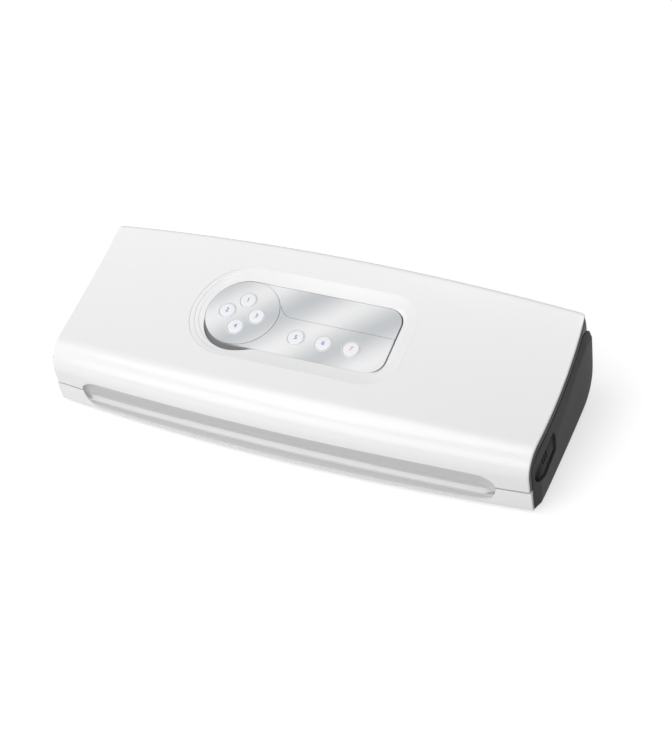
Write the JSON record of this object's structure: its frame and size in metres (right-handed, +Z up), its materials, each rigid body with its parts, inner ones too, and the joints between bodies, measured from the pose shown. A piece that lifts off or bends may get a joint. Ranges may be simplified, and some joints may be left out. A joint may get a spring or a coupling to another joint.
{
  "type": "vacuum sealer",
  "caption": "Countertop vacuum sealer with a glossy bowed lid hinged at the rear, a grip recess along the front, a silver key panel and side release buttons.",
  "frame": {"origin": "middle of the bounding box on the plane that the feet rest on", "axes": "+X to the user's right along the width, +Y to the rear, +Z up"},
  "size_m": [0.389, 0.145, 0.0812],
  "materials": {
    "lid_white": "gloss",
    "base_white": "gloss",
    "tray_white": "satin",
    "grip_grey": "satin",
    "cheek_grey": "satin",
    "silver_panel": "brushed",
    "key_white": "gloss",
    "collar_grey": "gloss",
    "button_black": "gloss",
    "slider_cream": "satin",
    "gasket_black": "matte",
    "strip_grey": "matte",
    "circuit_green": "satin",
    "part_dark": "satin",
    "alloy": "satin",
    "steel": "brushed",
    "tape_brown": "matte",
    "copper": "satin",
    "iron": "matte",
    "valve_blue": "satin",
    "hose_clear": "satin",
    "foot_rubber": "matte"
  },
  "bodies": {
    "base": {"base_housing": "base_white", "base_deck": "tray_white", "base_grip_insert": "grip_grey", "side_cheek_left": "cheek_grey", "side_cheek_right": "cheek_grey", "sealing_bar": "alloy", "heating_wire": "steel", "sealing_tape": "tape_brown", "lower_gasket": "gasket_black", "drip_tray": "tray_white", "inlet_filter": "tray_white", "pump_motor": "steel", "pump_head": "part_dark", "pump_cradle": "part_dark", "suction_hose": "hose_clear", "transformer_core": "iron", "transformer_coil": "copper", "power_board": "circuit_green", "vent_valve": "valve_blue", "lid_switches": "part_dark", "cord_gland": "part_dark", "hinge_pin_left": "steel", "hinge_pin_right": "steel", "feet": "foot_rubber", "base_screws": "steel"},
    "lid": {"lid_shell": "lid_white", "lid_inner_tray": "tray_white", "lid_end_cap_left": "cheek_grey", "lid_end_cap_right": "cheek_grey", "lid_grip_insert": "grip_grey", "panel_bezel": "lid_white", "dial_disc": "silver_panel", "control_plate": "silver_panel", "name_plate": "silver_panel", "key_collars": "collar_grey", "control_board": "circuit_green", "key_switches": "part_dark", "upper_gasket": "gasket_black", "pressure_strip": "strip_grey", "lid_catch_left": "tray_white", "lid_catch_right": "tray_white", "hinge_arm_left": "tray_white", "hinge_arm_right": "tray_white", "lid_screws": "steel"},
    "key_1": {"key_1": "key_white"},
    "key_2": {"key_2": "key_white"},
    "key_3": {"key_3": "key_white"},
    "key_4": {"key_4": "key_white"},
    "key_5": {"key_5": "key_white"},
    "key_6": {"key_6": "key_white"},
    "key_7": {"key_7": "key_white"},
    "latch_left": {"latch_button_left": "button_black", "latch_slider_left": "slider_cream"},
    "latch_right": {"latch_button_right": "button_black", "latch_slider_right": "slider_cream"}
  },
  "joints": [
    {"name": "lid_hinge", "type": "hinge", "parent": "base", "child": "lid", "pos_m": [0, 0.062, 0.055], "axis": [-1, 0, 0], "range_deg": [0, 70]},
    {"name": "key_1_press", "type": "slide", "parent": "lid", "child": "key_1", "axis": [0, 0.1908, -0.9816], "range_m": [0, 0.0006], "stiffness_N_per_m": 400, "springref_m": -0.0005},
    {"name": "key_2_press", "type": "slide", "parent": "lid", "child": "key_2", "axis": [0, 0.1908, -0.9816], "range_m": [0, 0.0006], "stiffness_N_per_m": 400, "springref_m": -0.0005},
    {"name": "key_3_press", "type": "slide", "parent": "lid", "child": "key_3", "axis": [0, 0.1908, -0.9816], "range_m": [0, 0.0006], "stiffness_N_per_m": 400, "springref_m": -0.0005},
    {"name": "key_4_press", "type": "slide", "parent": "lid", "child": "key_4", "axis": [0, 0.1908, -0.9816], "range_m": [0, 0.0006], "stiffness_N_per_m": 400, "springref_m": -0.0005},
    {"name": "key_5_press", "type": "slide", "parent": "lid", "child": "key_5", "axis": [0, 0.1908, -0.9816], "range_m": [0, 0.0006], "stiffness_N_per_m": 400, "springref_m": -0.0005},
    {"name": "key_6_press", "type": "slide", "parent": "lid", "child": "key_6", "axis": [0, 0.1908, -0.9816], "range_m": [0, 0.0006], "stiffness_N_per_m": 400, "springref_m": -0.0005},
    {"name": "key_7_press", "type": "slide", "parent": "lid", "child": "key_7", "axis": [0, 0.1908, -0.9816], "range_m": [0, 0.0006], "stiffness_N_per_m": 400, "springref_m": -0.0005},
    {"name": "latch_left_press", "type": "slide", "parent": "base", "child": "latch_left", "axis": [1, 0, 0], "range_m": [0, 0.003], "stiffness_N_per_m": 600, "springref_m": -0.002},
    {"name": "latch_right_press", "type": "slide", "parent": "base", "child": "latch_right", "axis": [-1, 0, 0], "range_m": [0, 0.003], "stiffness_N_per_m": 600, "springref_m": -0.002}
  ]
}
